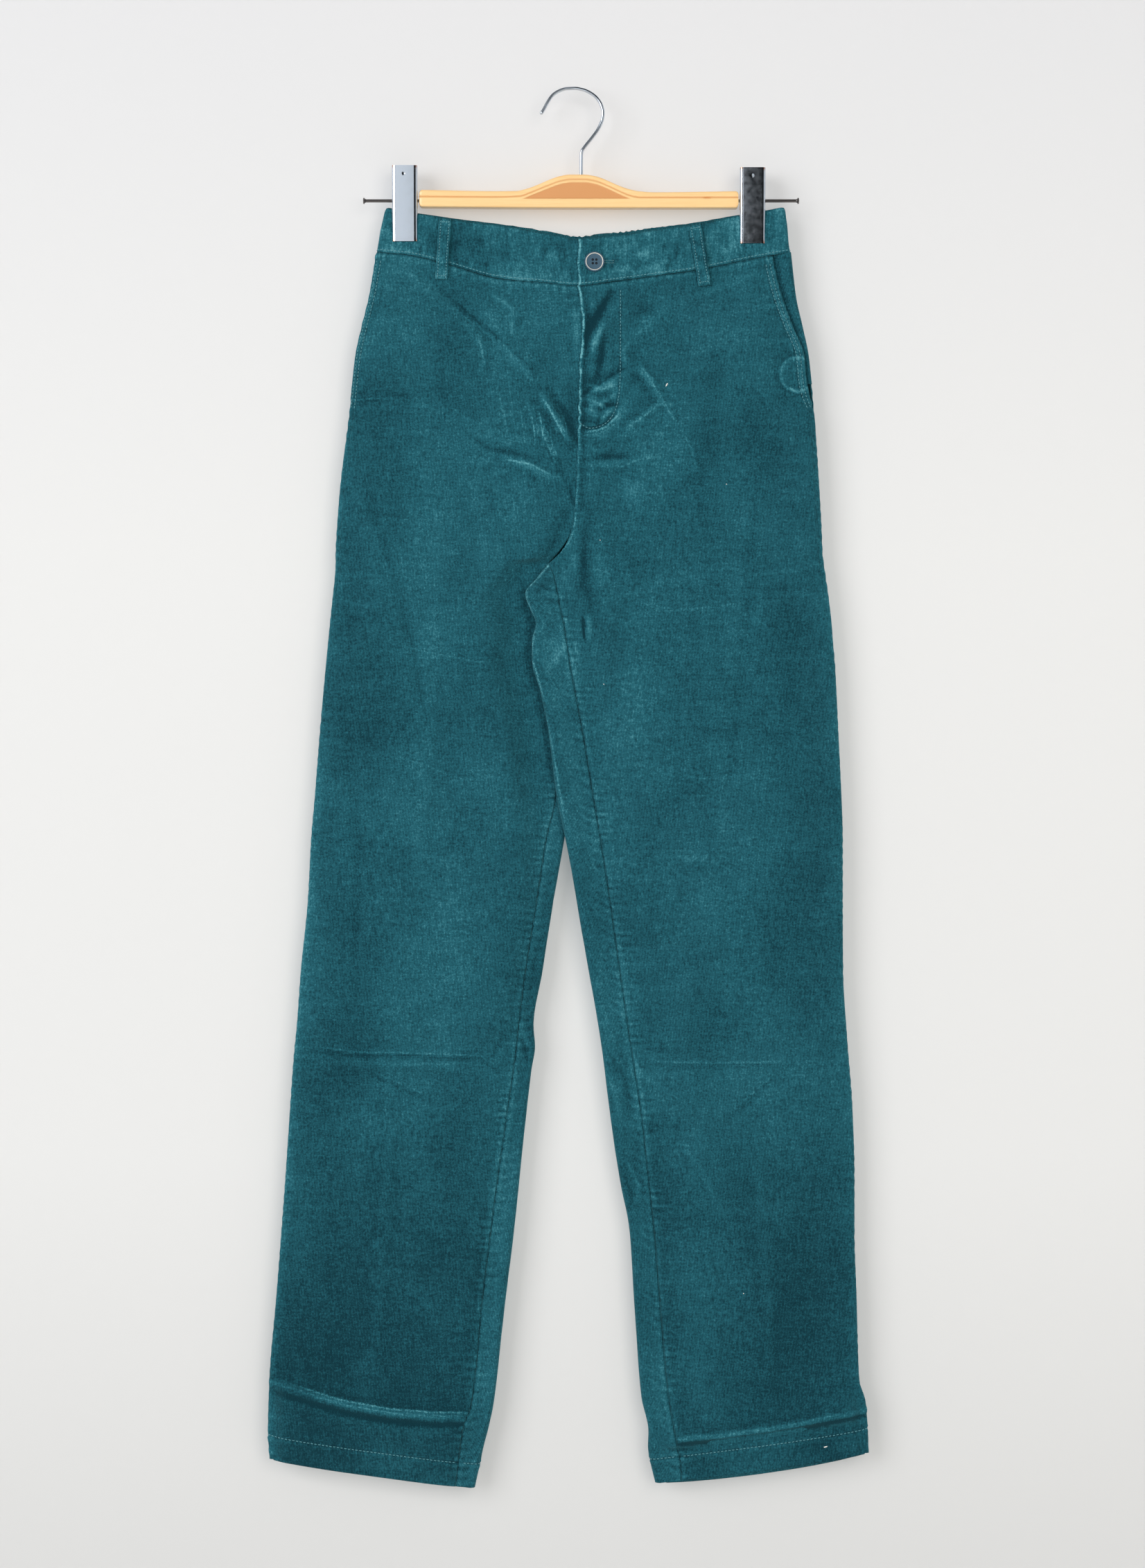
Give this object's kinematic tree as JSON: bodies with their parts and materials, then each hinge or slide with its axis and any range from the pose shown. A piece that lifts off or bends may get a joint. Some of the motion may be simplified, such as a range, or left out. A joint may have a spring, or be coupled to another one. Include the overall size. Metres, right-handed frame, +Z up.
{
  "type": "corduroy trousers on a clip hanger",
  "caption": "Straight high-waisted trousers in fine corduroy, fly front and slant pockets, hanging open at waist and hems from the sprung clips of a wooden bar hanger.",
  "frame": {"origin": "the inner top of the hook, where the hanger's wire rests on the rail that carries it", "axes": "+X to the viewer's right across the hanger (the wearer's left), -Y out of the front of the trousers, +Z up along the legs"},
  "size_m": [0.4942, 0.0307, 1.1519],
  "materials": {
    "corduroy": "matt, with the soft sheen of a cut pile",
    "button_plastic": "polished, with a pale rim",
    "lacquered_wood": "clear satin lacquer",
    "chromed_steel": "polished, a little worn"
  },
  "bodies": {
    "root": {"back_left": "corduroy", "back_right": "corduroy", "front_left": "corduroy", "front_right": "corduroy", "pocket_facing_left": "corduroy", "pocket_facing_right": "corduroy", "waistband_back": "corduroy", "waistband_front_left": "corduroy", "waistband_front_right": "corduroy", "belt_loop_front_left": "corduroy", "belt_loop_front_right": "corduroy", "belt_loop_back_left": "corduroy", "belt_loop_back_centre": "corduroy", "belt_loop_back_right": "corduroy", "button": "button_plastic", "hanger_bar": "lacquered_wood", "hanger_hook": "chromed_steel", "hanger_rod_left": "chromed_steel", "hanger_rod_right": "chromed_steel", "clip_right_front": "chromed_steel", "clip_right_back": "chromed_steel", "clip_left_front": "chromed_steel", "clip_left_back": "chromed_steel"}
  },
  "joints": []
}
